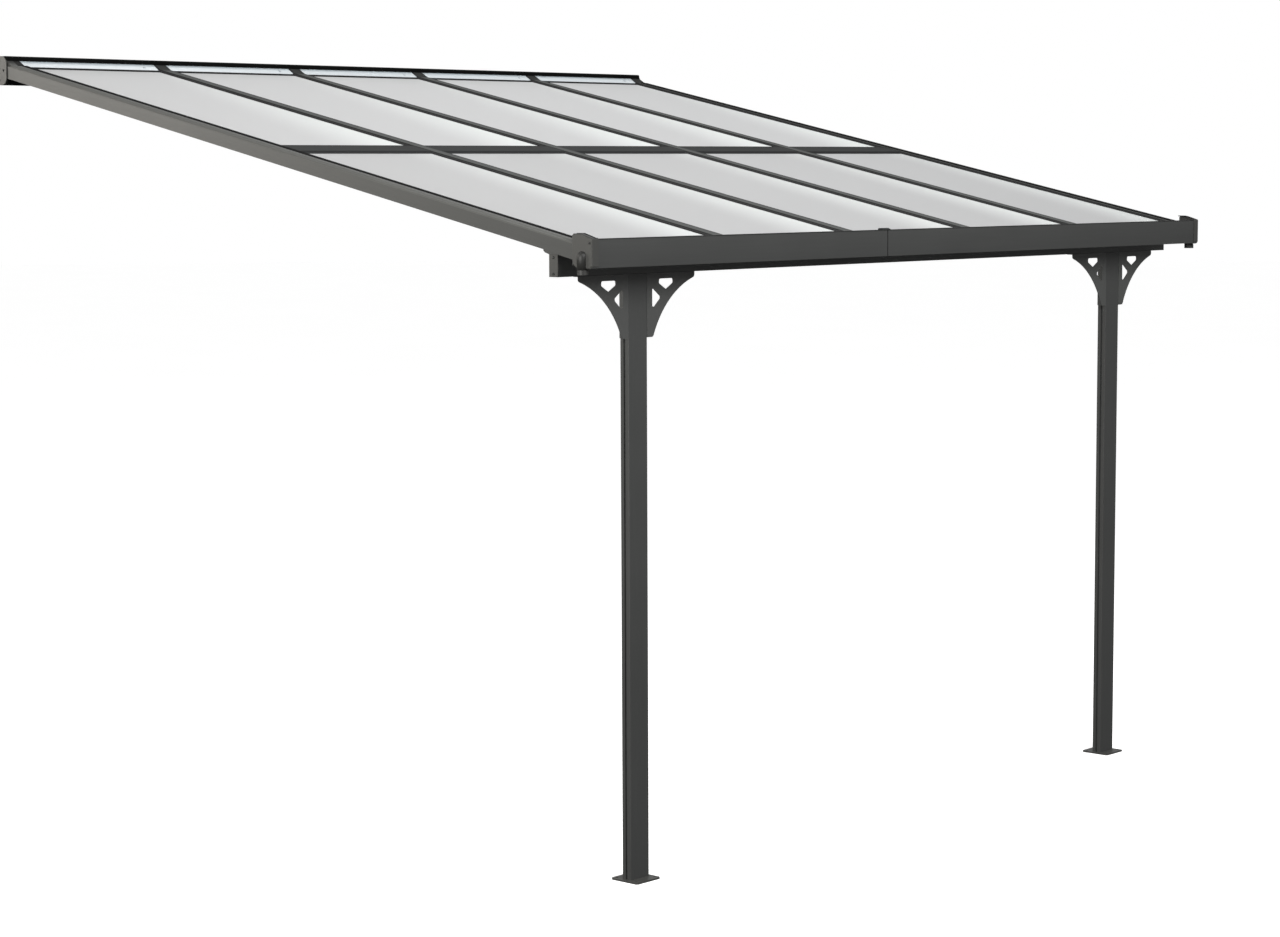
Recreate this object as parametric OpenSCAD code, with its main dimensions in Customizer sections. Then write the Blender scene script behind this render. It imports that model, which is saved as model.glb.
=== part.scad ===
// Attached patio cover: a wall profile, glazed rafters, a gutter, and a front beam on two posts
// The origin is the centre of the wall profile's flat back face, +Y points at the wall, +Z up

/* [Overall] */
// Distance between the centre lines of two rafters
bay_w = 700; // [620:10:780]
// From the wall face to the front face of the gutter
projection = 3060; // [2700:10:3500]
// Height of the roof plane above the ground at the front face of the gutter
front_h = 2098; // [1950:1:2400]
// Slope of the roof in degrees
slope = 12.05; // [9:0.05:15]
// From the front face of the gutter to the centre of the cross bars
mid_from_front = 1490; // [1200:1:1800]

/* [Wall profile] */
// Height of the wall profile
wall_h = 108; // [100:1:130]
// Depth of the wall profile, from the wall to its lips
wall_d = 60; // [50:1:80]
// Height of the front lip under the hood
hood_lip_h = 18; // [14:1:24]
// Thickness of the end plates of the wall profile
wall_plate_t = 5; // [3:0.5:8]
// Height of the hood's lip above the roof plane, closed by the clear strips
lip_gap = 12; // [8:1:24]

/* [Rafters] */
// Width of a rafter cover
cover_w = 58; // [50:1:70]
// Height of a rafter with its cover, square to the roof
rafter_h = 53; // [46:1:64]
// Width of the hollow leg of a rafter
leg_w = 34; // [28:1:40]
// Height of a cover above the panels
cover_h = 8; // [6:0.5:10]
// Thickness of the extruded walls
wall_t = 2.5; // [2:0.1:3]

/* [Panels] */
// Thickness of a roof panel
panel_t = 8; // [6:0.5:10]
// Width of a cross bar, measured up the slope
mid_bar_w = 104; // [70:1:120]
// Height of a cross bar below the panels
mid_bar_drop = 14; // [8:1:24]

/* [Gutter] */
// Height of the gutter front
gutter_h = 92; // [85:1:110]
// Depth of the gutter, front to back
gutter_d = 82; // [76:1:100]
// Height of the gutter front's top edge above the roof plane
gutter_rise = 26; // [15:1:30]
// Radius of the bend between the gutter's floor and its back
gutter_bend = 30; // [20:1:34]
// Joint between the two gutter lengths, from the middle of the cover
gutter_seam = -265; // [-300:5:300]
// Width of the gap that shows between the two gutter lengths
seam_gap = 4; // [1:0.5:6]
// Height of an end cap's crest above the gutter front
cap_crest = 13.5; // [8:0.5:16]
// How far an end cap reaches over the end of the gutter
cap_skirt = 28; // [20:1:40]
// Outside diameter of an outlet pipe
outlet_d = 29; // [24:1:30]

/* [Posts and beam] */
// Width of a post, seen from the front
post_w = 90; // [70:1:110]
// Depth of a post and of the beam
post_d = 37; // [34:1:50]
// Height of the front beam
beam_h = 72; // [65:1:90]
// From the gutter's front face to the front face of the beam and posts
beam_back = 152; // [140:1:180]
// From the last rafter's centre line to a post's centre line
post_inset = 350; // [250:10:450]
// Side of a square foot plate
foot_w = 118; // [114:1:150]
// Thickness of a foot plate
foot_t = 6; // [5:1:10]
// Distance between the centres of two bolt holes in a foot
foot_hole_pitch = 88; // [80:1:90]
// Diameter of a bolt hole in a foot
foot_hole_d = 10; // [8:0.5:11]

/* [Braces] */
// Length of a brace along the beam
brace_w = 236; // [210:1:260]
// Height of a brace along the post
brace_h = 208; // [190:1:230]
// Width of a brace's tip under the beam
beam_tip = 17; // [12:1:22]
// Width of a brace's tip on the post
post_tip = 30; // [24:1:34]
// Radius of a brace's hollow curve
brace_r = 320; // [280:5:420]
// Thickness of a brace plate
brace_t = 3; // [2:0.5:5]
// From the post's front face back to the brace plate
brace_back = 0; // [0:0.5:4]

/* [Hidden] */
$fn = 48;
bays = 5;
fit_gap = 0.2;                      // clearance between pieces that stand side by side
flange_t = 2;                       // thin flanges under and over the panels
stem_w = 6;                         // web of a rafter that rises between two panels
panel_gap = 3;                      // from a rafter's stem to a panel's edge
pocket_d = 20;                      // depth of the wall profile's open pocket
panel_start = 40;                   // panels begin this far behind the gutter front
rafter_start = 60;                  // rafters begin this far behind the gutter front
mid_web_t = 4;                      // web of a cross bar between two panels
trim_w = 14;                        // channel that closes the panels' top ends
trim_t = 2;
strip_t = 3;                        // clear strip below the hood's lip
panel_end = 30;                     // from the panels' top ends to the wall profile's lips
saddle_t = 3;                       // thin part of a saddle under a rafter
saddle_w = 40;
saddle_tail = 22;                   // part of a saddle behind the beam
saddle_tail_h = 10;
groove_w = 8;                       // grooves in the narrow sides of posts and beam
groove_d = 5;
end_plate_t = 4;                    // gutter end caps
beam_plate_t = 3;                   // beam end plates
cap_t = 2;                          // skirt of a gutter end cap
corner_r = 2;                       // rounded corners of posts and beam
gutter_lip = 16;                    // returned lip of the gutter front
gutter_lip_h = 12;
cover_end_w = 34;                   // part of a rafter cover that rises to the hood's lip
outlet_top = 53;                    // top of an outlet's dome above the gutter floor
outlet_drop = 21;                   // an outlet's lower end below the gutter floor
outlet_out = 2;                     // from the gutter's end out to an outlet's axis
outlet_back = 39;                   // from the gutter front back to an outlet's axis
outlet_wall = 3;
collar_d = 36;                      // collar at an outlet's lower end
collar_h = 15;
crest_skirt = 14;                   // reach of a cap's crest over the gutter
crest_front = 47;                   // from the gutter front to the foremost crest point
cap_bevel = 3;                      // bevelled outer edge of a cap
clip_w = 45;                        // clip on the lips at the gutter seam
clip_h = 5.5;
seam_plate_t = 1.5;
seam_plate_w = 70;

run = bays * bay_w;
rise = tan(slope);
fall = cos(slope);
// Height of the origin above the ground
origin_h = front_h + (projection - wall_d) * rise + lip_gap + hood_lip_h - wall_h / 2;
ground = -origin_h;
half_w = run / 2 + cover_w / 2;
panel_top = -cover_h;
panel_bottom = panel_top - panel_t;
flange_bottom = panel_bottom - flange_t;
roof_top = (projection - wall_d - panel_end) / fall;
mid_s = mid_from_front / fall;
clear_w = bay_w - cover_w - 2 * fit_gap;
// World height of a rafter's underside at a distance behind the gutter front
function under_rafter(y) = ground + front_h + y * rise - rafter_h / fall;
// World height of the roof plane at a world y
function over_rafter(y) = ground + front_h + (projection + y) * rise;
beam_top = under_rafter(beam_back) - saddle_t / fall;
beam_bottom = beam_top - beam_h;
beam_half = half_w - end_plate_t - beam_plate_t;
gutter_floor = ground + front_h + gutter_rise - gutter_h;
front_y = -projection;
outlet_y = front_y + outlet_back;
outlet_bore = outlet_d - 2 * outlet_wall;
post_x = run / 2 - post_inset;
post_y = front_y + beam_back + post_d / 2;

function rafter_x(i) = (i - bays / 2) * bay_w;
function bay_x(i) = (i + 0.5 - bays / 2) * bay_w;
function arc(cx, cy, r, a0, a1, n = 8) =
    [for (k = [0 : n]) [cx + r * cos(a0 + (a1 - a0) * k / n), cy + r * sin(a0 + (a1 - a0) * k / n)]];

// Points of a round corner at b between a and c
function corner(a, b, c, r, n) =
    r == 0 ? [b] :
    let (
        u = (a - b) / norm(a - b),
        v = (c - b) / norm(c - b),
        half = acos(u * v) / 2,
        turn = 180 - 2 * half,
        centre = b + (u + v) / norm(u + v) * r / sin(half),
        s = b + u * r / tan(half) - centre,
        e = b + v * r / tan(half) - centre
    )
    [for (k = [0 : n]) centre + (s * sin((1 - k / n) * turn) + e * sin(k / n * turn)) / sin(turn)];

// An outline with each of its corners rounded by its own radius
function rounded(p, r, n = 4) = [
    for (i = [0 : len(p) - 1])
        each corner(p[(i + len(p) - 1) % len(p)], p[i], p[(i + 1) % len(p)], r[i], n)
];

metal = [0.27, 0.275, 0.27];
metal_side = [0.42, 0.42, 0.39];
plastic = [0.25, 0.25, 0.24];
sheet = [0.83, 0.84, 0.84];
clear = [0.84, 0.9, 0.92];

// Places children on the roof plane: X across, Y up the slope from the gutter front, Z square to it
module on_roof() {
    translate([0, front_y, ground + front_h]) rotate([slope, 0, 0]) children();
}

// Stands a (y, z) outline up in the world and stretches it along X from x0 to x1
module along_x(x0, x1) {
    translate([x0, 0, 0]) rotate([90, 0, 90]) linear_extrude(x1 - x0) children();
}

// Runs an (x, z) outline up the roof plane from s0 to s1
module up_slope(s0, s1) {
    on_roof() translate([0, s1, 0]) rotate([90, 0, 0]) linear_extrude(s1 - s0) children();
}

// Cuts a sloping piece plumb at two distances behind the gutter front
module plumb_cut(y0, y1) {
    intersection() {
        children();
        translate([-half_w - bay_w, front_y + y0, ground])
            cube([2 * half_w + 2 * bay_w, y1 - y0, 2 * origin_h]);
    }
}

module mirror_if(flip) {
    mirror([flip ? 1 : 0, 0, 0]) children();
}

// Wall profile: a hollow back with an open pocket under a hood for the rafters' ends
module wall_profile_outline() {
    top = wall_h / 2;
    web = -wall_d + pocket_d;
    shelf = under_rafter(projection - wall_d) - fit_gap;
    difference() {
        union() {
            translate([web, -top]) square([-web, wall_h]);
            polygon(concat(
                arc(-wall_d + 8, top - 8, 8, 90, 180),
                [[-wall_d, top - hood_lip_h], [-wall_d + wall_t, top - hood_lip_h],
                 [-wall_d + wall_t, top - wall_t], [web + 1, top - wall_t], [web + 1, top]]
            ));
            polygon(concat(
                [[web + 1, -top], [web + 1, -top + wall_t], [-wall_d + wall_t, -top + wall_t],
                 [-wall_d + wall_t, shelf], [-wall_d, shelf]],
                arc(-wall_d + 8, -top + 8, 8, 180, 270)
            ));
        }
        translate([web + wall_t, -top + wall_t]) square([-web - 2 * wall_t, wall_h - 2 * wall_t]);
    }
}

module wall_profile() {
    color(metal) along_x(-half_w, half_w) wall_profile_outline();
}

module wall_end_plates() {
    r = wall_d / 2;
    color(metal_side) for (flip = [false, true]) mirror_if(flip) along_x(-half_w - wall_plate_t, -half_w)
        polygon(concat(
            [[0, -wall_h / 2], [0, wall_h / 2]],
            arc(-wall_d + r - 2, wall_h / 2 - r, r, 90, 180),
            arc(-wall_d + r - 2, -wall_h / 2 + r, r, 180, 270)
        ));
}

// Clear strips that lean from the panels' top channels up behind the hood's lip
module wall_flashing() {
    foot_y = -wall_d - panel_end - trim_w / 2;
    foot_z = ground + front_h + (projection + foot_y) * rise + (panel_top + trim_t) / fall;
    strip_foot = 2 * strip_t;
    head_y = -wall_d + wall_t + fit_gap;
    lip_z = wall_h / 2 - hood_lip_h;
    tuck = 8;
    color(clear) for (i = [0 : bays - 1])
        along_x(bay_x(i) - clear_w / 2, bay_x(i) + clear_w / 2) polygon([
            [foot_y, foot_z], [foot_y + strip_foot, foot_z + strip_foot * rise],
            [head_y + strip_t, lip_z - strip_t], [head_y + strip_t, lip_z + tuck],
            [head_y, lip_z + tuck], [head_y, lip_z - 1]
        ]);
}

// Channels that close the top ends of the upper panels
module panel_top_channels() {
    outer_h = panel_t + 2 * trim_t;
    color(metal) for (i = [0 : bays - 1])
        on_roof() translate([bay_x(i) - clear_w / 2, roof_top, panel_bottom - trim_t])
            difference() {
                translate([0, -trim_w, 0]) cube([clear_w, trim_w + trim_t, outer_h]);
                translate([-1, -trim_w - 1, trim_t]) cube([clear_w + 2, trim_w + 1, panel_t]);
            }
}

// An inner rafter carries a panel on each side of its stem
module rafter_outline() {
    difference() {
        union() {
            translate([-leg_w / 2, -rafter_h]) square([leg_w, rafter_h + flange_bottom]);
            translate([-cover_w / 2, flange_bottom]) square([cover_w, flange_t]);
            translate([-stem_w / 2, panel_bottom - 1]) square([stem_w, panel_t + 1]);
        }
        translate([-leg_w / 2 + wall_t, -rafter_h + wall_t])
            square([leg_w - 2 * wall_t, rafter_h + flange_bottom - 2 * wall_t]);
    }
}

// An end rafter has a closed outer face and carries a panel on one side
module end_rafter_outline() {
    difference() {
        union() {
            translate([-cover_w / 2, -rafter_h])
                square([cover_w / 2 + leg_w / 2, rafter_h + flange_bottom]);
            translate([-cover_w / 2, -rafter_h]) square([cover_w / 2 + stem_w / 2, rafter_h + panel_top]);
            translate([0, flange_bottom]) square([cover_w / 2, flange_t]);
        }
        translate([-cover_w / 2 + wall_t, -rafter_h + wall_t])
            square([cover_w / 2 + leg_w / 2 - 2 * wall_t, rafter_h + flange_bottom - 2 * wall_t]);
        translate([-cover_w / 2 + wall_t, flange_bottom])
            square([cover_w / 2 - wall_t - stem_w / 2, panel_t + flange_t - wall_t]);
    }
}

module rafter(i) {
    color(metal_side) plumb_cut(rafter_start, projection - wall_d + pocket_d)
        up_slope(0, projection / fall) translate([rafter_x(i), 0])
            if (i == 0) end_rafter_outline();
            else if (i == bays) mirror([1, 0]) end_rafter_outline();
            else rafter_outline();
}

// Pressed cover: a low crowned channel whose lips rest on the panels
module crown_outline() {
    w = cover_w / 2;
    bevel = 3;
    polygon([
        [-w, panel_top], [-w + wall_t, panel_top], [-w + wall_t, -bevel - 1], [-w + 6, -wall_t],
        [w - 6, -wall_t], [w - wall_t, -bevel - 1], [w - wall_t, panel_top],
        [w, panel_top], [w, -bevel], [w - 5, 0], [-w + 5, 0], [-w, -bevel]
    ]);
}

// Covers between two panels also have two legs that grip the rafter's stem
module cover_outline() {
    leg_t = 1.8;
    union() {
        crown_outline();
        for (side = [-1, 1])
            translate([side * (stem_w / 2 + (fit_gap + leg_t) / 2) - leg_t / 2, panel_top - 2])
                square([leg_t, cover_h + 2 - wall_t / 2]);
    }
}

// Upper end of a cover, which rises to the hood's lip between two clear strips
module cover_end() {
    y0 = -wall_d - cover_end_w;
    y1 = -wall_d + wall_t + strip_t;
    lip_z = wall_h / 2 - hood_lip_h - fit_gap;
    w = cover_w / 2;
    along_x(-w, w) polygon([
        [y0, over_rafter(y0) - 1], [y1, over_rafter(y1) - 1], [y1, lip_z], [-wall_d, lip_z]
    ]);
}

module rafter_cover(i) {
    color(metal) union() {
        plumb_cut(panel_start, projection - wall_d + pocket_d)
            up_slope(0, projection / fall) translate([rafter_x(i), 0])
                if (i == 0 || i == bays) crown_outline();
                else cover_outline();
        translate([rafter_x(i), 0, 0]) cover_end();
    }
}

module panel(i, s0, s1) {
    w = bay_w - stem_w - 2 * panel_gap;
    color(sheet) up_slope(s0, s1) translate([bay_x(i) - w / 2, panel_bottom]) square([w, panel_t]);
}

module panel_lower(i) {
    panel(i, panel_start / fall, mid_s - mid_web_t / 2 - 1);
}

module panel_upper(i) {
    panel(i, mid_s + mid_web_t / 2 + 1, roof_top);
}

// Cross bars: H sections that join the lower and upper panels between two rafters
module cross_bar_outline() {
    w = mid_bar_w / 2;
    top = -1;
    difference() {
        union() {
            polygon([
                [-w, panel_top], [w, panel_top], [w, top - 3], [w - 5, top], [-w + 5, top],
                [-w, top - 3]
            ]);
            translate([-mid_web_t / 2, panel_bottom - 1]) square([mid_web_t, panel_t + 2]);
            translate([-w, panel_bottom - flange_t]) square([2 * w, flange_t]);
            translate([-w / 2, panel_bottom - mid_bar_drop]) square([w, mid_bar_drop]);
        }
        translate([-w + wall_t, panel_top - 1]) square([w - wall_t - mid_web_t / 2, 4]);
        translate([mid_web_t / 2, panel_top - 1]) square([w - wall_t - mid_web_t / 2, 4]);
        translate([-w / 2 + wall_t, panel_bottom - mid_bar_drop + wall_t])
            square([w - 2 * wall_t, mid_bar_drop - 2 * wall_t]);
    }
}

module cross_bars() {
    color(metal) for (i = [0 : bays - 1])
        on_roof() translate([bay_x(i) - clear_w / 2, mid_s, 0])
            rotate([90, 0, 90]) linear_extrude(clear_w) cross_bar_outline();
}

// Saddles: wedges that seat the rafters on the level beam and hook on the gutter's back
module saddle_outline() {
    y0 = gutter_d;
    y1 = beam_back + post_d;
    y2 = y1 + saddle_tail;
    hook = 22;
    translate([front_y, 0]) polygon([
        [y0, under_rafter(y0)],
        [y0, under_rafter(y0) - hook],
        [y0 + saddle_t, under_rafter(y0) - hook],
        [y0 + saddle_t, under_rafter(y0) - saddle_t],
        [beam_back, beam_top],
        [y1, beam_top],
        [y1, under_rafter(y1) - saddle_tail_h],
        [y2 - 6, under_rafter(y2) - saddle_tail_h],
        [y2, under_rafter(y2) - saddle_tail_h + 6],
        [y2, under_rafter(y2)]
    ]);
}

module rafter_saddles() {
    color(metal_side) for (i = [0 : bays]) {
        x0 = i == 0 ? -half_w + 1 : i == bays ? half_w - saddle_w - 1 : rafter_x(i) - saddle_w / 2;
        along_x(x0, x0 + saddle_w) saddle_outline();
    }
}

// Gutter: a trough with a flat front, a returned lip, a bent floor and a low back
function gutter_back_h() = under_rafter(gutter_d) - gutter_floor - 0.8;
function bend_r() = min(gutter_bend, gutter_back_h() - 1);

module gutter_outline() {
    r = bend_r();
    t = wall_t;
    h = gutter_back_h();
    translate([front_y, gutter_floor]) polygon(concat(
        [[0, 0], [0, gutter_h], [gutter_lip, gutter_h], [gutter_lip, gutter_h - gutter_lip_h],
         [gutter_lip - t, gutter_h - gutter_lip_h], [gutter_lip - t, gutter_h - t],
         [t, gutter_h - t], [t, t]],
        arc(gutter_d - r, r, r - t, 270, 360),
        [[gutter_d - t, h], [gutter_d, h]],
        arc(gutter_d - r, r, r, 360, 270)
    ));
}

// Upright cylinder on an outlet's axis, from z0 to z1 above the gutter floor
module outlet_rod(d, z0, z1) {
    translate([-half_w - outlet_out, outlet_y, gutter_floor + z0]) cylinder(d = d, h = z1 - z0);
}

module gutter_left() {
    color(metal) difference() {
        along_x(-half_w, gutter_seam - seam_gap / 2) gutter_outline();
        outlet_rod(outlet_d + 2 * fit_gap, -1, wall_t + 1);
    }
}

module gutter_right() {
    color(metal) difference() {
        along_x(gutter_seam + seam_gap / 2, half_w) gutter_outline();
        mirror([1, 0, 0]) outlet_rod(outlet_d + 2 * fit_gap, -1, wall_t + 1);
    }
}

// Liner inside the trough where the two lengths meet, and a clip on their front lips
module gutter_seam_plate() {
    r = bend_r();
    t = wall_t;
    s = seam_plate_t;
    back = min(r + 8, gutter_back_h() - 1);
    lip = gutter_lip + fit_gap;
    clip_back = gutter_lip + 10;
    color(metal) {
        along_x(gutter_seam - seam_plate_w / 2, gutter_seam + seam_plate_w / 2)
            translate([front_y, gutter_floor]) polygon(concat(
                [[t, t], [t, gutter_h - gutter_lip], [t + s, gutter_h - gutter_lip], [t + s, t + s]],
                arc(gutter_d - r, r, r - t - s, 270, 360),
                [[gutter_d - t - s, back], [gutter_d - t, back]],
                arc(gutter_d - r, r, r - t, 360, 270)
            ));
        along_x(gutter_seam - clip_w / 2, gutter_seam + clip_w / 2)
            translate([front_y, gutter_floor + gutter_h]) polygon([
                [5, 0], [lip, 0], [lip, -8], [clip_back, -8],
                [clip_back, clip_h - 2.5], [clip_back - 4, clip_h], [lip - 2, clip_h], [5, 1.5]
            ]);
    }
}

// Outline of an end cap, grown by e beyond the gutter, with a crest behind its sloping front
function cap_points(e) = concat(
    [[8 - e, -e]],
    arc(gutter_d - gutter_bend, gutter_bend, gutter_bend + e, 270, 360),
    [[gutter_d + e, gutter_h + cap_crest - 6 + e], [gutter_d - 6 + e, gutter_h + cap_crest + e],
     [crest_front, gutter_h + cap_crest + e], [3 - e, gutter_h + e], [-e, gutter_h - 3 + e], [-e, 8 - e]]
);

// Room that an end cap's skirt leaves for the gutter's end
module cap_cavity() {
    g = fit_gap;
    behind = gutter_d + cap_t + 2;
    translate([0, front_y, gutter_floor]) {
        along_x(-half_w - 1, -half_w + cap_skirt + 1) polygon([
            [-g, -g], [behind, -g], [behind, gutter_h + cap_crest + g],
            [crest_front + 1, gutter_h + cap_crest + g], [2, gutter_h + g], [-g, gutter_h + g]
        ]);
        // The skirt stops short of the bend, and the crest is shorter than the front
        translate([-half_w - 1, gutter_d - gutter_bend, -10])
            cube([cap_skirt + 2, gutter_bend + 10, gutter_h]);
        translate([-half_w + crest_skirt, -10, gutter_h + cap_t + 1])
            cube([cap_skirt, gutter_d + 20, cap_crest + 10]);
    }
}

// Body of an outlet's pipe, with a domed top
module outlet_pipe(d, z0) {
    dome = outlet_top - outlet_d / 2;
    outlet_rod(d, z0, dome);
    translate([-half_w - outlet_out, outlet_y, gutter_floor + dome]) sphere(d = d);
}

// End caps close the trough, wrap over its end and carry a drain outlet
module gutter_end_cap(flip) {
    grown = cap_t + fit_gap;
    face_x = -half_w - end_plate_t;
    color(metal_side) mirror_if(flip) difference() {
        union() {
            translate([0, front_y, gutter_floor]) hull() {
                along_x(face_x, face_x + 1) polygon(cap_points(grown - cap_bevel));
                along_x(face_x + cap_bevel, -half_w) polygon(cap_points(grown));
            }
            difference() {
                translate([0, front_y, gutter_floor])
                    along_x(-half_w - 0.5, -half_w + cap_skirt) polygon(cap_points(grown));
                cap_cavity();
            }
        }
        outlet_pipe(outlet_d + 2 * fit_gap, -10);
    }
}

// Outlets: a domed pipe that bulges from the end cap, open to the trough, with a collar below
module gutter_outlet(flip) {
    color(plastic) mirror_if(flip) difference() {
        union() {
            outlet_pipe(outlet_d, -outlet_drop);
            outlet_rod(collar_d, -outlet_drop, collar_h - outlet_drop);
        }
        outlet_pipe(outlet_bore, -outlet_drop - 1);
        translate([-half_w, outlet_y - outlet_d, gutter_floor + wall_t - 0.5])
            cube([2 * outlet_d, 2 * outlet_d, outlet_top]);
    }
}

// Extruded section of the posts and the beam, with a groove in each narrow side
module grooved_outline(w, d) {
    difference() {
        union() {
            difference() {
                polygon(rounded(
                    [[-w / 2, -d / 2], [w / 2, -d / 2], [w / 2, d / 2], [-w / 2, d / 2]],
                    [corner_r, corner_r, corner_r, corner_r]
                ));
                square([w - 2 * wall_t, d - 2 * wall_t], center = true);
            }
            for (side = [-1, 1])
                translate([side * (w / 2 - (groove_d + wall_t) / 2), 0])
                    square([groove_d + wall_t, groove_w + 2 * wall_t], center = true);
        }
        for (side = [-1, 1])
            translate([side * (w / 2 - groove_d / 2), 0])
                square([groove_d + 0.01, groove_w], center = true);
    }
}

module front_beam() {
    color(metal) along_x(-beam_half, beam_half)
        translate([post_y, beam_top - beam_h / 2]) rotate(90) grooved_outline(beam_h, post_d);
}

module beam_end_plates() {
    color(metal_side) for (flip = [false, true]) mirror_if(flip) along_x(-beam_half - beam_plate_t, -beam_half)
        translate([post_y - post_d / 2, beam_bottom]) square([post_d, beam_h]);
}

module post(x) {
    color(metal) translate([x, post_y, ground + foot_t])
        linear_extrude(beam_bottom - ground - foot_t) grooved_outline(post_w, post_d);
}

module post_foot(x) {
    r = 10;
    s = foot_w / 2 - r;
    p = foot_hole_pitch / 2;
    color(metal) translate([x, post_y, ground]) difference() {
        linear_extrude(foot_t) polygon(concat(
            arc(s, s, r, 0, 90), arc(-s, s, r, 90, 180),
            arc(-s, -s, r, 180, 270), arc(s, -s, r, 270, 360)
        ));
        for (sx = [-1, 1], sy = [-1, 1])
            translate([sx * p, sy * p, -1]) cylinder(d = foot_hole_d, h = foot_t + 2);
    }
}

// Brace plate in its own corner: the post's side is x = 0 and the beam's underside is y = 0
module brace_outline() {
    // The hollow curve runs from one tip to the other, about c
    a = [brace_w, -beam_tip];
    b = [post_tip, -brace_h];
    half = norm(a - b) / 2;
    away = sqrt(brace_r * brace_r - half * half) / (2 * half);
    c = (a + b) / 2 + away * [a[1] - b[1], b[0] - a[0]];
    steps = 24;
    from = atan2(b[1] - c[1], b[0] - c[0]);
    to = atan2(a[1] - c[1], a[0] - c[0]);
    curve = arc(c[0], c[1], brace_r, from, to, steps);
    outline = concat([[0, 0], [0, -brace_h]], curve, [[brace_w, 0]]);
    radii = [for (i = [0 : len(outline) - 1]) i == 2 ? 12 : i == 2 + steps ? 11 : 0];
    difference() {
        polygon(rounded(outline, radii));
        // Upper window with its point down, lower window with its point at the curve
        polygon(rounded([[59, -34], [94, -54], [129, -34], [128, -19], [60, -19]], [6, 2, 6, 6, 6]));
        polygon(rounded(
            [[26, -51], [26, -109], [37, -109], [65, -84], [65, -76], [32, -51]],
            [2, 4, 4, 3, 3, 3]
        ));
    }
}

// Braces: a pierced plate flush with the post's front, and flanges on the post and under the beam
module brace(x, side) {
    depth = post_d - brace_back;
    flange_reach = depth - brace_t / 2;
    color(metal) translate([x + side * post_w / 2, post_y + post_d / 2, beam_bottom])
        mirror_if(side < 0) rotate([90, 0, 0]) union() {
            translate([0, 0, depth - brace_t]) linear_extrude(brace_t) brace_outline();
            translate([0, -brace_h, 0]) cube([brace_t, brace_h, flange_reach]);
            translate([0, -brace_t, 0]) cube([brace_w - beam_tip, brace_t, flange_reach]);
        }
}

wall_profile();
wall_end_plates();
wall_flashing();
panel_top_channels();
rafter(0);  // rafter_1
rafter(1);  // rafter_2
rafter(2);  // rafter_3
rafter(3);  // rafter_4
rafter(4);  // rafter_5
rafter(5);  // rafter_6
rafter_cover(0);  // rafter_cover_1
rafter_cover(1);  // rafter_cover_2
rafter_cover(2);  // rafter_cover_3
rafter_cover(3);  // rafter_cover_4
rafter_cover(4);  // rafter_cover_5
rafter_cover(5);  // rafter_cover_6
panel_upper(0);  // panel_upper_1
panel_upper(1);  // panel_upper_2
panel_upper(2);  // panel_upper_3
panel_upper(3);  // panel_upper_4
panel_upper(4);  // panel_upper_5
panel_lower(0);  // panel_lower_1
panel_lower(1);  // panel_lower_2
panel_lower(2);  // panel_lower_3
panel_lower(3);  // panel_lower_4
panel_lower(4);  // panel_lower_5
cross_bars();
rafter_saddles();
gutter_left();
gutter_right();
gutter_seam_plate();
gutter_end_cap(false);  // gutter_end_left
gutter_end_cap(true);  // gutter_end_right
gutter_outlet(false);  // gutter_outlet_left
gutter_outlet(true);  // gutter_outlet_right
front_beam();
beam_end_plates();
post(-post_x);  // post_left
post(post_x);  // post_right
post_foot(-post_x);  // post_foot_left
post_foot(post_x);  // post_foot_right
brace(-post_x, -1);  // brace_left_outer
brace(-post_x, 1);  // brace_left_inner
brace(post_x, -1);  // brace_right_inner
brace(post_x, 1);  // brace_right_outer
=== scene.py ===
import math

import bmesh
import bpy
from mathutils import Matrix, Vector


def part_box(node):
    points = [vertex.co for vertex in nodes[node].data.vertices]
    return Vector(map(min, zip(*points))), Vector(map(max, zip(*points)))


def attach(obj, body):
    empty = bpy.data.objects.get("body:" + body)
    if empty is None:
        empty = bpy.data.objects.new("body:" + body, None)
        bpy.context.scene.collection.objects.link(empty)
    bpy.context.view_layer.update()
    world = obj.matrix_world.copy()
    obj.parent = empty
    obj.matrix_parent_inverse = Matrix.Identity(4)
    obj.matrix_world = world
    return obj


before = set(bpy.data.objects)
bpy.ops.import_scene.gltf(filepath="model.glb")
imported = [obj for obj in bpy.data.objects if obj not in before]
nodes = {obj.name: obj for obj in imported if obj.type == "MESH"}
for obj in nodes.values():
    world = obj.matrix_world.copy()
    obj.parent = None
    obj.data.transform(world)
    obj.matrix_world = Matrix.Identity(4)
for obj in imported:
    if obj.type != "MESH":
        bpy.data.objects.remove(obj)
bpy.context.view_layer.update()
scene = bpy.context.scene

# Sizes of the part, in metres
BAYS = 5
BAY = 0.700
PROJECTION = 3.060
SLOPE = math.radians(12.05)
COVER_W = 0.058
COVER_H = 0.008
PANEL_T = 0.008
HALF_W = BAYS * BAY / 2 + COVER_W / 2
END_PLATE = 0.004
WALL_PLATE = 0.005
BEAM_PLATE = 0.003
GUTTER_SEAM = -0.265
MID = 1.490
BAR_HALF = 0.052
PANEL_START = 0.040
WALL_D = 0.060
PANEL_END = 0.030

GUTTER_LO, GUTTER_HI = (Vector(v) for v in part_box("gutter_left"))
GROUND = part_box("post_foot_left")[0][2]
CAP_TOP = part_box("gutter_end_left")[1][2]
CREST = 0.0135
WALL_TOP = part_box("wall_profile")[1][2]
CREST_Y = 0.045
FRONT_H = GUTTER_HI.z - 0.026
SIN, COS = math.sin(SLOPE), math.cos(SLOPE)


def roof(x, s, n=0.0):
    """World place of a point on the roof plane, s up the slope from the gutter front, n square to it."""
    return Vector((x, -PROJECTION + s * COS - n * SIN, FRONT_H + s * SIN + n * COS))


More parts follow.
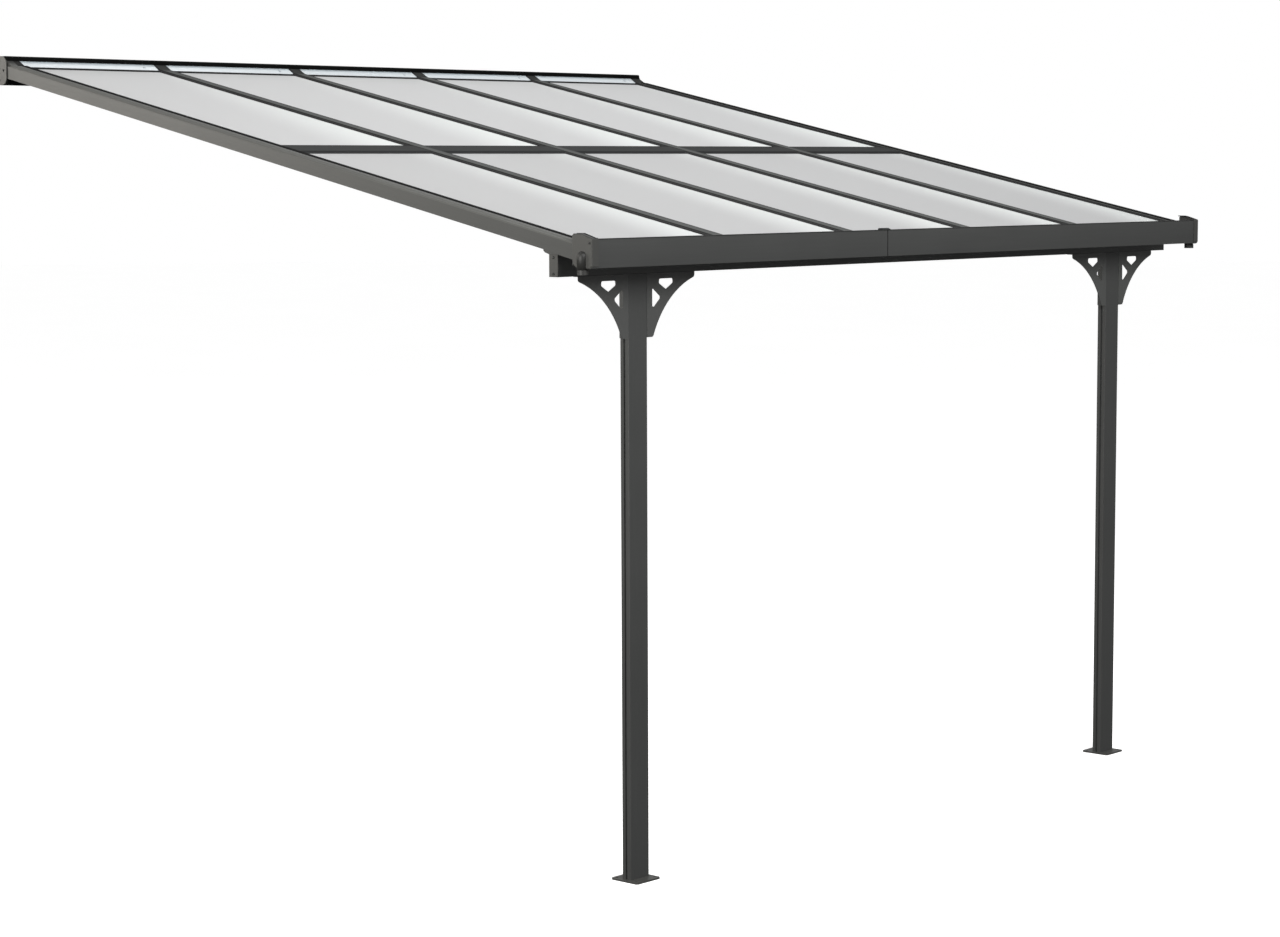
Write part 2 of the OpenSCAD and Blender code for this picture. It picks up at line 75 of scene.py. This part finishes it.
# ---------------------------------------------------------------- materials
def tree(name):
    mat = bpy.data.materials.new(name)
    mat.use_nodes = True
    t = mat.node_tree
    return mat, t, t.nodes["Principled BSDF"]


def add(t, kind, **values):
    n = t.nodes.new(kind)
    for key, value in values.items():
        setattr(n, key, value)
    return n


def math_node(t, op, a, b=None, clamp=False):
    n = add(t, "ShaderNodeMath", operation=op, use_clamp=clamp)
    for i, v in enumerate((a, b)):
        if v is None:
            continue
        if isinstance(v, (int, float)):
            n.inputs[i].default_value = v
        else:
            t.links.new(v, n.inputs[i])
    return n.outputs[0]


def ramp(t, value, lo, hi, out_lo=0.0, out_hi=1.0, smooth=True):
    n = add(t, "ShaderNodeMapRange", interpolation_type="SMOOTHSTEP" if smooth else "LINEAR", clamp=True)
    t.links.new(value, n.inputs["Value"])
    for key, v in (("From Min", lo), ("From Max", hi), ("To Min", out_lo), ("To Max", out_hi)):
        n.inputs[key].default_value = v
    return n.outputs[0]


def noise(t, coord, scale, detail=3.0, rough=0.5):
    n = add(t, "ShaderNodeTexNoise")
    n.inputs["Scale"].default_value = scale
    n.inputs["Detail"].default_value = detail
    n.inputs["Roughness"].default_value = rough
    t.links.new(coord, n.inputs["Vector"])
    return n.outputs["Fac"]


def mix_colour(t, fac, a, b, kind="MIX"):
    n = add(t, "ShaderNodeMix", data_type="RGBA", blend_type=kind)
    for socket, v in ((n.inputs[0], fac), (n.inputs[6], a), (n.inputs[7], b)):
        if isinstance(v, (int, float)):
            socket.default_value = v
        elif isinstance(v, (tuple, list)):
            socket.default_value = (*v, 1)
        else:
            t.links.new(v, socket)
    return n.outputs[2]


def paint(name, colour, along, rough=0.42, spec=0.35, streak=0.05, shade=None):
    """Satin powder coat with a fine orange peel, faint draw lines along an extrusion and slight mottling."""
    mat, t, p = tree(name)
    coord = add(t, "ShaderNodeTexCoord").outputs["Object"]
    mapping = add(t, "ShaderNodeMapping", vector_type="TEXTURE")
    mapping.inputs["Rotation"].default_value = {"slope": (SLOPE, 0, 0)}.get(along, (0, 0, 0))
    stretch = {"x": (60, 1, 1), "z": (1, 1, 60), "slope": (1, 60, 1), "none": (1, 1, 1)}[along]
    mapping.inputs["Scale"].default_value = stretch
    t.links.new(coord, mapping.inputs["Vector"])
    draw = noise(t, mapping.outputs[0], 260, 3)
    peel = noise(t, coord, 1400, 2)
    cloud = noise(t, coord, 3.5, 4)
    base = mix_colour(t, ramp(t, cloud, 0.3, 0.7), [c * 0.94 for c in colour], [c * 1.07 for c in colour])
    lines = mix_colour(t, ramp(t, draw, 0.35, 0.65), [c * (1 - streak) for c in colour], [c * (1 + streak) for c in colour])
    tone = mix_colour(t, 0.5, base, lines)
    # Painted shade: where the shade mask is set, the colour is pulled down to 6% of itself.
    if shade:
        tone = mix_colour(t, shade(t, coord), tone, [c * 0.06 for c in colour])
    t.links.new(tone, p.inputs["Base Color"])
    r = math_node(t, "ADD", math_node(t, "MULTIPLY", cloud, 0.10), rough - 0.05)
    t.links.new(math_node(t, "ADD", r, math_node(t, "MULTIPLY", draw, 0.05)), p.inputs["Roughness"])
    p.inputs["Specular IOR Level"].default_value = spec
    bump = add(t, "ShaderNodeBump")
    bump.inputs["Strength"].default_value = 0.18
    bump.inputs["Distance"].default_value = 0.00025
    t.links.new(math_node(t, "ADD", peel, math_node(t, "MULTIPLY", draw, 0.5)), bump.inputs["Height"])
    t.links.new(bump.outputs[0], p.inputs["Normal"])
    return mat


def plastic(name, colour, rough=0.5, spec=0.4):
    """Moulded plastic with a fine even grain."""
    mat, t, p = tree(name)
    coord = add(t, "ShaderNodeTexCoord").outputs["Object"]
    grain = noise(t, coord, 1800, 2)
    cloud = noise(t, coord, 25, 3)
    t.links.new(mix_colour(t, ramp(t, cloud, 0.3, 0.7), [c * 0.92 for c in colour], [c * 1.08 for c in colour]), p.inputs["Base Color"])
    t.links.new(math_node(t, "ADD", math_node(t, "MULTIPLY", grain, 0.15), rough - 0.07), p.inputs["Roughness"])
    p.inputs["Specular IOR Level"].default_value = spec
    bump = add(t, "ShaderNodeBump")
    bump.inputs["Strength"].default_value = 0.25
    bump.inputs["Distance"].default_value = 0.0002
    t.links.new(grain, bump.inputs["Height"])
    t.links.new(bump.outputs[0], p.inputs["Normal"])
    return mat


def sheet(name, s_lo, s_hi, rail, tone, highlight_lead, highlight_spread, fade):
    """Milky roof sheet: near-even light grey with painted light that falls off slightly from left to right, a painted
    highlight that widens down its right side, a bright lower edge, darkening towards its foot, and painted light
    given off by its underside.
    """
    mat, t, p = tree(name)
    coord = add(t, "ShaderNodeTexCoord").outputs["Object"]
    xyz = add(t, "ShaderNodeSeparateXYZ")
    t.links.new(coord, xyz.inputs[0])
    across = math_node(t, "FRACT", math_node(t, "ADD", math_node(t, "DIVIDE", xyz.outputs["X"], BAY), BAYS / 2))
    s = math_node(t, "DIVIDE", math_node(t, "ADD", xyz.outputs["Y"], PROJECTION), COS)
    # Painted highlight: a pale band that widens down the right side of each panel.
    down = ramp(t, s, s_hi, s_lo, 0, 1, smooth=False)
    wide = math_node(t, "ADD", math_node(t, "MULTIPLY", down, highlight_spread), highlight_lead)
    edge = math_node(t, "SUBTRACT", across, math_node(t, "SUBTRACT", 1.0, wide))
    painted_highlight = ramp(t, edge, -0.22, 0.42)
    # Painted light: the grey falls off slightly from left to right across the roof.
    light_falloff_across = ramp(t, xyz.outputs["X"], -1.75, 1.75, 0, 1, smooth=False)
    grey = mix_colour(t, light_falloff_across, (tone, tone * 1.002, tone * 1.005), (tone * 0.955, tone * 0.96, tone * 0.965))
    colour = mix_colour(t, painted_highlight, grey, (0.82, 0.85, 0.835))
    speck = ramp(t, noise(t, coord, 420, 2), 0.35, 0.65)
    colour = mix_colour(t, 0.06, colour, mix_colour(t, speck, (0.4, 0.4, 0.4), (0.7, 0.7, 0.7)))
    colour = mix_colour(t, ramp(t, down, 0.25, 1.0, 0.0, fade), colour, (0, 0, 0))
    seam = ramp(t, s, s_lo + rail + 0.022, s_lo + rail + 0.008)
    colour = mix_colour(t, math_node(t, "MULTIPLY", seam, 0.6), colour, (0.93, 0.94, 0.94))
    t.links.new(colour, p.inputs["Base Color"])
    t.links.new(math_node(t, "ADD", math_node(t, "MULTIPLY", speck, 0.06), 0.42), p.inputs["Roughness"])
    p.inputs["Specular IOR Level"].default_value = 0.35
    p.inputs["Transmission Weight"].default_value = 0.25
    # Painted light: the underside gives off a faint light, as if lit through from above.
    n = math_node(t, "SUBTRACT", math_node(t, "MULTIPLY", xyz.outputs["Z"], COS), math_node(t, "MULTIPLY", xyz.outputs["Y"], SIN))
    under = FRONT_H * COS + PROJECTION * SIN - COVER_H - PANEL_T
    p.inputs["Emission Color"].default_value = (0.97, 1.0, 1.0, 1)
    t.links.new(ramp(t, n, under + 0.0008, under + 0.0002, 0.0, 0.26), p.inputs["Emission Strength"])
    bump = add(t, "ShaderNodeBump")
    bump.inputs["Strength"].default_value = 0.10
    bump.inputs["Distance"].default_value = 0.0003
    t.links.new(noise(t, coord, 700, 2), bump.inputs["Height"])
    t.links.new(bump.outputs[0], p.inputs["Normal"])
    return mat


def clear_plastic(name):
    mat, t, p = tree(name)
    coord = add(t, "ShaderNodeTexCoord").outputs["Object"]
    cloud = noise(t, coord, 9, 3)
    xyz = add(t, "ShaderNodeSeparateXYZ")
    t.links.new(coord, xyz.inputs[0])
    lo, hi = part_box("wall_flashing")
    upper = ramp(t, xyz.outputs["Z"], lo[2] + (hi[2] - lo[2]) * 0.50, lo[2] + (hi[2] - lo[2]) * 0.62)
    tone = mix_colour(t, upper, (0.76, 0.81, 0.84), (0.62, 0.69, 0.73))
    t.links.new(mix_colour(t, math_node(t, "MULTIPLY", cloud, 0.3), tone, (0.77, 0.83, 0.86)), p.inputs["Base Color"])
    t.links.new(math_node(t, "ADD", math_node(t, "MULTIPLY", cloud, 0.1), 0.18), p.inputs["Roughness"])
    p.inputs["Transmission Weight"].default_value = 0.35
    return mat


def cover_painted_shade(t, coord):
    """Painted shade on the rafter covers: dark lines along their edges and dark upper ends under the hood; on the
    leftmost cover only the inner half is shaded dark, its outer half stays light.
    """
    xyz = add(t, "ShaderNodeSeparateXYZ")
    t.links.new(coord, xyz.inputs[0])
    cell = math_node(t, "ADD", math_node(t, "DIVIDE", xyz.outputs["X"], BAY), BAYS / 2 + 0.5)
    d = math_node(t, "MULTIPLY", math_node(t, "SUBTRACT", math_node(t, "FRACT", cell), 0.5), BAY)
    edge = math_node(t, "MAXIMUM", ramp(t, math_node(t, "ABSOLUTE", d), COVER_W / 2 - 0.0052, COVER_W / 2 - 0.0030),
                     ramp(t, d, 0.012, 0.017, 0.0, 0.8))
    first = ramp(t, xyz.outputs["X"], -HALF_W + 0.080, -HALF_W + 0.070)
    half = ramp(t, d, -0.004, -0.001)
    side = math_node(t, "ADD", math_node(t, "MULTIPLY", first, half), math_node(t, "MULTIPLY", math_node(t, "SUBTRACT", 1.0, first), edge))
    place = math_node(t, "SUBTRACT", xyz.outputs["Y"], math_node(t, "MULTIPLY", first, 0.030))
    return math_node(t, "MAXIMUM", side, ramp(t, place, -0.125, -0.095, 0.0, 0.75))


def wall_shade(t, coord):
    """The wall profile's deep shade at its front and underside; its top and back keep the paint's grey."""
    xyz = add(t, "ShaderNodeSeparateXYZ")
    t.links.new(coord, xyz.inputs[0])
    top = ramp(t, xyz.outputs["Z"], WALL_TOP - 0.0016, WALL_TOP - 0.0006)
    back = ramp(t, xyz.outputs["Y"], -0.0030, -0.0015)
    return math_node(t, "MULTIPLY", math_node(t, "SUBTRACT", 1.0, math_node(t, "MAXIMUM", top, back)), 0.985)


def bar_rim_painted_shade(t, coord):
    """Painted shade along the upper rim of the cross bars."""
    xyz = add(t, "ShaderNodeSeparateXYZ")
    t.links.new(coord, xyz.inputs[0])
    return ramp(t, xyz.outputs["Y"], -PROJECTION + MID + (BAR_HALF - 0.018) * COS, -PROJECTION + MID + (BAR_HALF - 0.014) * COS, 0.0, 0.9)


def cap_shade(t, coord):
    """Painted shade on the gutter caps: a dark band on top of their crests, and the fronts of their skirts darkened
    towards the gutter's tone.
    """
    xyz = add(t, "ShaderNodeSeparateXYZ")
    t.links.new(coord, xyz.inputs[0])
    y = math_node(t, "ADD", xyz.outputs["Y"], PROJECTION)
    slope = ramp(t, y, 0.0, CREST_Y, 0.0, CREST, smooth=False)
    over = math_node(t, "SUBTRACT", math_node(t, "SUBTRACT", xyz.outputs["Z"], slope), CAP_TOP - CREST)
    near = ramp(t, xyz.outputs["Y"], -PROJECTION + 0.12, -PROJECTION + 0.10)
    top = math_node(t, "MULTIPLY", ramp(t, over, -0.0024, -0.0012), near)
    across = math_node(t, "ABSOLUTE", xyz.outputs["X"])
    skirt = math_node(t, "MULTIPLY", ramp(t, y, -0.0005, -0.0015), ramp(t, across, HALF_W + 0.003, HALF_W + 0.001))
    return math_node(t, "MAXIMUM", top, math_node(t, "MULTIPLY", skirt, 0.24))


def gutter_painted_shade(t, coord):
    """Painted shade on the gutter's front: slightly darker towards the bottom, and a dark upper rim."""
    xyz = add(t, "ShaderNodeSeparateXYZ")
    t.links.new(coord, xyz.inputs[0])
    rim = ramp(t, xyz.outputs["Z"], GUTTER_HI.z - 0.0038, GUTTER_HI.z - 0.0028, 0.0, 0.85)
    return math_node(t, "MAXIMUM", rim, ramp(t, xyz.outputs["Z"], GUTTER_HI.z - 0.005, GUTTER_LO.z, 0.0, 0.17, smooth=False))


DARK = (0.040, 0.041, 0.040)
paint_x = paint("powder_coat_along_x", DARK, "x")
paint_z = paint("powder_coat_along_z", DARK, "z")
paint_slope = paint("powder_coat_along_slope", (0.050, 0.051, 0.049), "slope")
paint_cover = paint("powder_coat_covers", (0.057, 0.060, 0.058), "slope", rough=0.6, spec=0.12, shade=cover_painted_shade)
# Painted light: the leftmost cover gets a much lighter copy of the cover paint, as it is lit from the left.
paint_cover_left_lit = paint("powder_coat_left_cover_painted_light", (0.095, 0.096, 0.092), "slope", rough=0.6, spec=0.12, shade=cover_painted_shade)
paint_cover_right = paint("powder_coat_right_cover", (0.060, 0.062, 0.060), "slope", rough=0.6, spec=0.12, shade=cover_painted_shade)
paint_gutter = paint("powder_coat_gutter", DARK, "x", shade=gutter_painted_shade)
# Painted light: the braces get lighter copies of the plate paint, the right-hand ones lighter still to make up for
# the light falling off to the right.
paint_brace_lit = paint("powder_coat_braces_painted_light", (0.054, 0.055, 0.0535), "none")
paint_brace_far_lit = paint("powder_coat_far_braces_painted_light", (0.058, 0.0595, 0.0575), "none")
paint_plate = paint("powder_coat_plates", (0.050, 0.050, 0.047), "none")
paint_cap = paint("powder_coat_caps", (0.050, 0.050, 0.047), "none", shade=cap_shade)
paint_bar = paint("powder_coat_cross_bars", (0.0175, 0.0185, 0.0185), "x", rough=0.6, spec=0.08, shade=bar_rim_painted_shade)
paint_wall = paint("powder_coat_wall_profile", DARK, "x", rough=0.6, spec=0.03, shade=wall_shade)
# Painted shade: the top channels get a near-black copy of the powder coat for the shaded line between the panels and
# the clear strips under the hood.
paint_channel_shaded = paint("powder_coat_top_channels_painted_shade", (0.0045, 0.0045, 0.0045), "x", rough=0.6, spec=0.03)
outlet_plastic = plastic("outlet_plastic", (0.0165, 0.0165, 0.0155))
rubber = plastic("rubber_gasket", (0.008, 0.008, 0.008), rough=0.7, spec=0.2)
joint_rubber = plastic("joint_rubber", (0.004, 0.004, 0.004), rough=0.8, spec=0.05)
screw_steel = plastic("coated_screw", (0.012, 0.012, 0.012), rough=0.4)
# Painted light: the two rows are copies of one sheet, the lower row given a darker grey than the upper one, each with
# its own painted highlight.
sheet_lower = sheet("roof_sheet_lower", PANEL_START, MID / COS, 0.05, 0.475, 0.11, 0.20, 0.09)
sheet_upper = sheet("roof_sheet_upper", MID / COS, (PROJECTION - WALL_D) / COS, BAR_HALF, 0.565, 0.0, 0.42, 0.02)
clear = clear_plastic("clear_strip")

for name, o in nodes.items():
    if name.startswith("panel_upper"):
        mat = sheet_upper
    elif name.startswith("panel_lower"):
        mat = sheet_lower
    elif name == "wall_flashing":
        mat = clear
    elif name.startswith("rafter_cover"):
        mat = {"1": paint_cover_left_lit, "6": paint_cover_right}.get(name[-1], paint_cover)
    elif name in ("gutter_left", "gutter_right"):
        mat = paint_gutter
    elif name.startswith("gutter_end"):
        mat = paint_cap
    elif name.startswith("brace"):
        mat = paint_brace_lit if "left_" in name else paint_brace_far_lit
    elif name.startswith("rafter"):
        mat = paint_slope
    elif name in ("cross_bars", "gutter_seam_plate"):
        mat = paint_bar
    elif name == "wall_profile":
        mat = paint_wall
    elif name == "panel_top_channels":
        mat = paint_channel_shaded
    elif name.startswith("post_") and "foot" not in name:
        mat = paint_z
    elif "outlet" in name:
        mat = outlet_plastic
    elif "end" in name or "brace" in name or "foot" in name:
        mat = paint_plate
    else:
        mat = paint_x
    for i in range(len(o.material_slots)):
        o.material_slots[i].material = mat


# ---------------------------------------------------------------- pieces
def piece(name, bm, mat, smooth=False):
    mesh = bpy.data.meshes.new(name)
    bmesh.ops.recalc_face_normals(bm, faces=bm.faces)
    bm.to_mesh(mesh)
    bm.free()
    for f in mesh.polygons:
        f.use_smooth = smooth
    o = bpy.data.objects.new(name, mesh)
    scene.collection.objects.link(o)
    mesh.materials.append(mat)
    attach(o, "root")
    return o


def revolve(bm, profile, matrix, steps=20):
    """Turns (radius, height) points about the local Z axis."""
    rings = []
    for r, h in profile:
        if r == 0:
            rings.append([bm.verts.new(matrix @ Vector((0, 0, h)))])
        else:
            rings.append([bm.verts.new(matrix @ Vector((r * math.cos(a), r * math.sin(a), h)))
                          for a in (2 * math.pi * k / steps for k in range(steps))])
    for a, b in zip(rings, rings[1:]):
        for k in range(steps):
            q = [a[k % len(a)], a[(k + 1) % len(a)], b[(k + 1) % len(b)], b[k % len(b)]]
            q = [v for i, v in enumerate(q) if v not in q[:i]]
            if len(q) > 2:
                bm.faces.new(q)


def aim(place, axis):
    return Matrix.Translation(place) @ Vector(axis).to_track_quat("Z", "Y").to_matrix().to_4x4()


def screws(name, places, axis, r=0.0045):
    """Pan head screws with a round recess."""
    bm = bmesh.new()
    for place in places:
        revolve(bm, [(r, -0.0005), (r, 0.0008), (r * 0.9, 0.0017), (r * 0.65, 0.0024), (r * 0.42, 0.0026),
                     (r * 0.38, 0.0010), (0, 0.0008)], aim(place, axis), 24)
    return piece(name, bm, screw_steel, True)


def prism(bm, outline, place):
    """Joins two copies of an outline, each placed by place(point, end)."""
    a = [bm.verts.new(place(q, 0)) for q in outline]
    b = [bm.verts.new(place(q, 1)) for q in outline]
    n = len(outline)
    for k in range(n):
        bm.faces.new((a[k], a[(k + 1) % n], b[(k + 1) % n], b[k]))
    bm.faces.new(a[::-1])
    bm.faces.new(b)


# Rubber seals that show as dark lines beside the rafter covers
bead = [(0, 0), (0.0085, 0), (0.0095, 0.0012), (0.0085, 0.0028), (0.0030, 0.0048), (0, 0.0052)]
for i in range(BAYS + 1):
    x = (i - BAYS / 2) * BAY
    bm = bmesh.new()
    for side in (-1, 1):
        if (i == 0 and side < 0) or (i == BAYS and side > 0):
            continue
        for s0, s1 in ((PANEL_START / COS, MID / COS - BAR_HALF), (MID / COS + BAR_HALF, (PROJECTION - WALL_D - PANEL_END) / COS)):
            prism(bm, bead, lambda q, e: roof(x + side * (COVER_W / 2 + q[0]), s1 if e else s0, -COVER_H + q[1]))
    piece("rafter_seals_%d" % (i + 1), bm, rubber)

# Raised ribs on the tops of the two outer rafter covers, each with a near-black rubber strip on its inner half as
# painted shade for the shadowed groove there
rib = [(-0.024, -0.0005), (-0.0225, 0.0025), (-0.020, 0.0032), (0.020, 0.0032), (0.0225, 0.0025), (0.024, -0.0005)]
rib_shadow_strip = [(-0.002, 0.0028), (-0.001, 0.0046), (0.001, 0.0050), (0.020, 0.0050), (0.0222, 0.0044), (0.0230, 0.0022)]
for i, mat, inward in ((0, paint_cover_left_lit, 1), (BAYS, paint_cover_right, -1)):
    x = (i - BAYS / 2) * BAY
    bm = bmesh.new()
    prism(bm, rib, lambda q, e: roof(x + q[0], (PROJECTION - 0.115) / COS if e else 0.092 / COS, q[1]))
    piece("cover_rib_%d" % (i + 1), bm, mat)
    bm = bmesh.new()
    prism(bm, rib_shadow_strip, lambda q, e: roof(x + inward * q[0], (PROJECTION - 0.115) / COS if e else 0.092 / COS, q[1]))
    piece("cover_rib_seal_%d" % (i + 1), bm, joint_rubber)

# Lips along the lower edges of the cross bars
lip = [(-0.0150, 0), (0.0020, 0), (0.0020, 0.0026), (-0.0100, 0.0018), (-0.0150, 0.0008)]
bm = bmesh.new()
for i in range(BAYS):
    x0 = (i - BAYS / 2) * BAY + COVER_W / 2 + 0.0003
    x1 = x0 + BAY - COVER_W - 0.0006
    prism(bm, lip, lambda q, e: roof(x1 if e else x0, MID / COS - BAR_HALF + q[0], -COVER_H + q[1]))
piece("cross_bar_lips", bm, paint_bar)

# Dark seal in the joint of the gutter's two lengths
bm = bmesh.new()
joint = [(-0.0019, GUTTER_LO.z + 0.003), (0.0019, GUTTER_LO.z + 0.003), (0.0019, GUTTER_HI.z - 0.003), (-0.0019, GUTTER_HI.z - 0.003)]
prism(bm, joint, lambda q, e: Vector((GUTTER_SEAM + q[0], -PROJECTION + (0.0022 if e else 0.0002), q[1])))
piece("gutter_joint_seal", bm, joint_rubber)

# Seals at the feet of the clear strips, and the small clips that hold the strips
ROOF_TOP = (PROJECTION - WALL_D - PANEL_END) / COS
clip_grey = plastic("strip_clip", (0.42, 0.45, 0.48), rough=0.35)
foot = [(0, 0), (0, 0.0062), (-0.003, 0.0060), (-0.0055, 0.0042), (-0.0062, 0.0018), (-0.006, 0)]
lo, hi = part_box("wall_flashing")
bm = bmesh.new()
clips = bmesh.new()
for i in range(BAYS):
    x0 = (i - BAYS / 2) * BAY + COVER_W / 2 + 0.0003
    x1 = x0 + BAY - COVER_W - 0.0006
    prism(bm, foot, lambda q, e: roof(x1 if e else x0, ROOF_TOP - 0.014 + q[0], -COVER_H + q[1]))
    lower, upper = Vector((0, lo[1] + 0.006, lo[2] + 0.0055)), Vector((0, hi[1] - 0.003, hi[2] - 0.0085))
    lean = (upper - lower).normalized()
    out = Vector((0, lean.z, -lean.y)) * -1
    for x in (x1 - 0.060,):
        base = lower.lerp(upper, 0.35)
        prism(clips, [(-0.004, 0), (0.004, 0), (0.004, 0.009), (0.0025, 0.011), (-0.0025, 0.011), (-0.004, 0.009)],
              lambda q, e: Vector((x + q[0], 0, 0)) + base + lean * q[1] + out * (0.0016 if e else -0.0005))
piece("strip_seals", bm, rubber)
piece("strip_clips", clips, clip_grey)

# Near-black rubber strips along the end caps' crests, as painted shadow in the gap between each crest and the roof
crest = [(0.0005, 0.0930), (0.0470, 0.1066), (0.0780, 0.1066), (0.0780, 0.1092), (0.0462, 0.1092), (-0.0005, 0.0952)]
for side, word in ((-1, "left"), (1, "right")):
    bm = bmesh.new()
    prism(bm, crest, lambda q, e: Vector((side * (HALF_W - (0.0185 if e else 0.0135)), -PROJECTION + q[0], GUTTER_LO.z + q[1])))
    piece("cap_crest_shadow_strip_" + word, bm, rubber)

# Domed hoods over the outlets, as wide as their collars are
for side, word in ((-1, "left"), (1, "right")):
    bm = bmesh.new()
    r, top, foot_z = 0.0172, 0.0535, -0.006
    arc = [(r * math.cos(a), top - r + r * math.sin(a)) for a in (math.pi / 2 * k / 8 for k in range(8))]
    revolve(bm, [(0, foot_z), (r, foot_z)] + arc + [(0, top)],
            Matrix.Translation((side * (HALF_W + 0.0025), -PROJECTION + 0.0405, GUTTER_LO.z)), 36)
    piece("outlet_hood_" + word, bm, outlet_plastic, True)

# Screws of the end plates
for side, word in ((-1, "left"), (1, "right")):
    x = side * (HALF_W + WALL_PLATE)
    screws("wall_plate_screws_" + word, [(x, -0.018, 0.036), (x, -0.018, -0.036), (x, -0.045, 0.0)], (side, 0, 0))
    x = side * (HALF_W + END_PLATE)
    screws("gutter_cap_screw_" + word, [(x, -PROJECTION + 0.0075, GUTTER_LO.z + 0.079)], (side, 0, 0), 0.0042)
    lo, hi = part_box("beam_end_plates")
    x = lo[0] if side < 0 else hi[0]
    y = (lo[1] + hi[1]) / 2
    screws("beam_plate_screws_" + word, [(x, y, lo[2] + 0.010), (x, y, hi[2] - 0.010)], (side, 0, 0))

# ---------------------------------------------------------------- camera, floor and light
F_PX, YAW, PITCH, ROLL = 2928.1, math.radians(48.021), math.radians(5.923), math.radians(-0.224)
EYE = Vector((-8.4523, -9.2604, -0.3622))
right = Vector((math.cos(YAW), -math.sin(YAW), 0))
ahead = Vector((math.sin(YAW) * math.cos(PITCH), math.cos(YAW) * math.cos(PITCH), -math.sin(PITCH)))
up = right.cross(ahead)
right2 = right * math.cos(ROLL) + up * math.sin(ROLL)
up2 = -right * math.sin(ROLL) + up * math.cos(ROLL)
cam_data = bpy.data.cameras.new("camera")
cam_data.sensor_fit = "HORIZONTAL"
cam_data.sensor_width = 36
cam_data.lens = F_PX * 36 / 1280
cam_data.clip_end = 200
cam = bpy.data.objects.new("camera", cam_data)
scene.collection.objects.link(cam)
turn = Matrix((right2, up2, -ahead)).transposed().to_4x4()
cam.matrix_world = Matrix.Translation(EYE) @ turn
scene.camera = cam

floor_bm = bmesh.new()
bmesh.ops.create_circle(floor_bm, cap_ends=True, radius=60, segments=96)
floor_mesh = bpy.data.meshes.new("floor")
floor_bm.to_mesh(floor_mesh)
floor_bm.free()
floor = bpy.data.objects.new("floor", floor_mesh)
floor.location = (0, 0, GROUND - 0.0005)
scene.collection.objects.link(floor)
mat, t, p = tree("pale_floor")
coord = add(t, "ShaderNodeTexCoord").outputs["Object"]
t.links.new(mix_colour(t, noise(t, coord, 0.8, 3), (0.90, 0.90, 0.90), (0.94, 0.94, 0.94)), p.inputs["Base Color"])
p.inputs["Roughness"].default_value = 0.9
p.inputs["Specular IOR Level"].default_value = 0.1
p.inputs["Emission Color"].default_value = (1, 1, 1, 1)
p.inputs["Emission Strength"].default_value = 0.45
floor_mesh.materials.append(mat)
floor.visible_diffuse = False
floor.visible_glossy = False

world = bpy.data.worlds.new("studio")
world.use_nodes = True
scene.world = world
t = world.node_tree
t.nodes.clear()
out = add(t, "ShaderNodeOutputWorld")
coord = add(t, "ShaderNodeTexCoord").outputs["Generated"]
xyz = add(t, "ShaderNodeSeparateXYZ")
t.links.new(coord, xyz.inputs[0])
level = ramp(t, xyz.outputs["Z"], -0.25, 0.35, 0.14, 0.60)
back = add(t, "ShaderNodeBackground")
t.links.new(mix_colour(t, level, (0, 0, 0), (1, 1, 1)), back.inputs["Color"])
white = add(t, "ShaderNodeBackground")
white.inputs["Color"].default_value = (1, 1, 1, 1)
path = add(t, "ShaderNodeLightPath")
mixer = add(t, "ShaderNodeMixShader")
t.links.new(path.outputs["Is Camera Ray"], mixer.inputs[0])
t.links.new(back.outputs[0], mixer.inputs[1])
t.links.new(white.outputs[0], mixer.inputs[2])
t.links.new(mixer.outputs[0], out.inputs[0])


def softbox(name, place, target, size, power, colour=(1, 1, 1)):
    data = bpy.data.lights.new(name, "AREA")
    data.shape = "RECTANGLE"
    data.size, data.size_y = size
    data.energy = power
    data.color = colour
    o = bpy.data.objects.new(name, data)
    scene.collection.objects.link(o)
    o.location = place
    o.rotation_euler = (Vector(target) - Vector(place)).to_track_quat("-Z", "Y").to_euler()
    return o


softbox("side", (-5.0, 2.8, 0.8), (-1.8, 0.0, 0.0), (1.8, 1.8), 165, (1.0, 0.96, 0.89))
softbox("front", (-1.2, -7.5, 1.9), (0, -3.0, -1.0), (4.5, 2.5), 360)
softbox("fill", (-6.0, -3.2, -1.0), (-1.8, -2.9, -1.4), (2, 2), 172, (1.0, 0.99, 0.96))
softbox("top", (1.0, -1.0, 4.0), (0, -1.5, -0.4), (5, 5), 120)

scene.view_settings.view_transform = "Standard"
scene.view_settings.look = "None"
